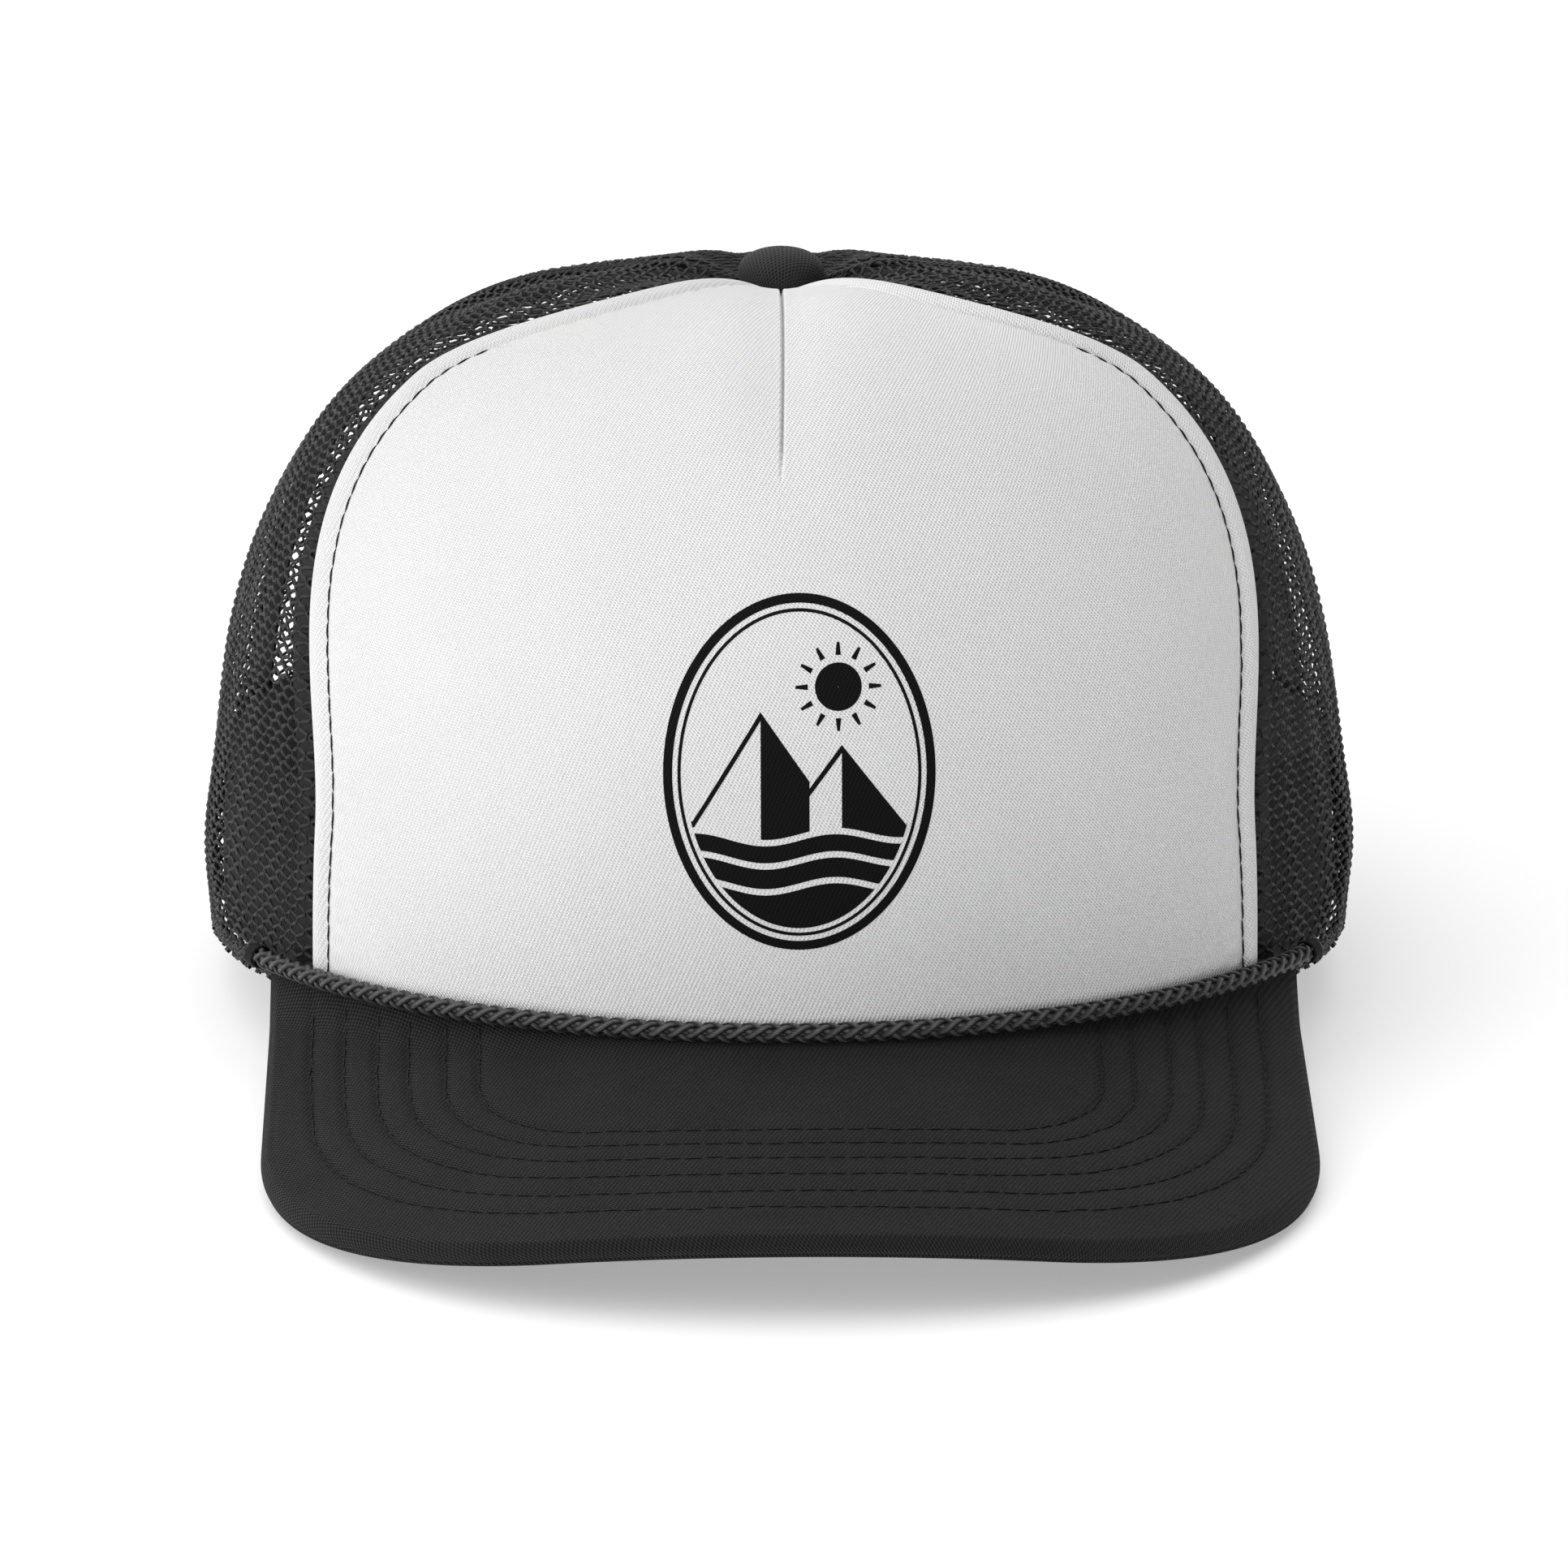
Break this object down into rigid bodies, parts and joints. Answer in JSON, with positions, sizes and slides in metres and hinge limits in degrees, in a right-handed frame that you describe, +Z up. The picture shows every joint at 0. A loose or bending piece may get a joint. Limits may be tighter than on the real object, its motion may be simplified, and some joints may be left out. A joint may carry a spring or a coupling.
{
  "type": "trucker mesh cap",
  "caption": "Cap with a foam-backed knit front, mesh sides and back, curved stitched visor with a braided rope, and a plastic snap strap at the back.",
  "frame": {"origin": "centre of the cap's box at the surface it stands on", "axes": "+Z up, -Y the way the visor points, +X to the right when the cap is seen from its front"},
  "size_m": [0.188, 0.258, 0.1225],
  "materials": {
    "front_knit": "matte",
    "front_foam": "matte",
    "mesh": "satin",
    "seam_tape": "matte",
    "sweatband": "matte",
    "binding": "matte",
    "strap_plastic": "satin",
    "visor_board": "satin",
    "visor_fabric": "matte",
    "rope": "matte",
    "button_fabric": "matte",
    "button_metal": "satin"
  },
  "bodies": {
    "cap": {"button_cover": "button_fabric", "button_rivet": "button_metal", "button_shell": "button_metal", "button_washer": "button_metal", "front_fabric": "front_knit", "front_foam": "front_foam", "front_left_seam_tape": "seam_tape", "front_right_seam_tape": "seam_tape", "hole_strap_tab": "strap_plastic", "left_back_mesh": "mesh", "left_side_mesh": "mesh", "rear_binding": "binding", "rear_center_seam_tape": "seam_tape", "right_back_mesh": "mesh", "right_side_mesh": "mesh", "rope_bartack_left": "rope", "rope_bartack_right": "rope", "side_left_seam_tape": "seam_tape", "side_right_seam_tape": "seam_tape", "stud_strap_tab": "strap_plastic", "sweatband": "sweatband", "visor_board": "visor_board", "visor_rope": "rope", "visor_top_cover": "visor_fabric", "visor_under_cover": "visor_fabric"},
    "hole_strap": {"hole_strap": "strap_plastic"},
    "stud_strap": {"stud_strap": "strap_plastic"}
  },
  "joints": [
    {"name": "hole_strap_flex", "type": "hinge", "parent": "cap", "child": "hole_strap", "pos_m": [0.02375, 0.12389, 0.00968], "axis": [0, -0.1063, -0.9943], "range_deg": [0, 60], "stiffness_Nm_per_rad": 0.01},
    {"name": "stud_strap_flex", "type": "hinge", "parent": "cap", "child": "stud_strap", "pos_m": [-0.02375, 0.1216, 0.00992], "axis": [0, -0.1063, -0.9943], "range_deg": [0, 30], "stiffness_Nm_per_rad": 0.01}
  ]
}
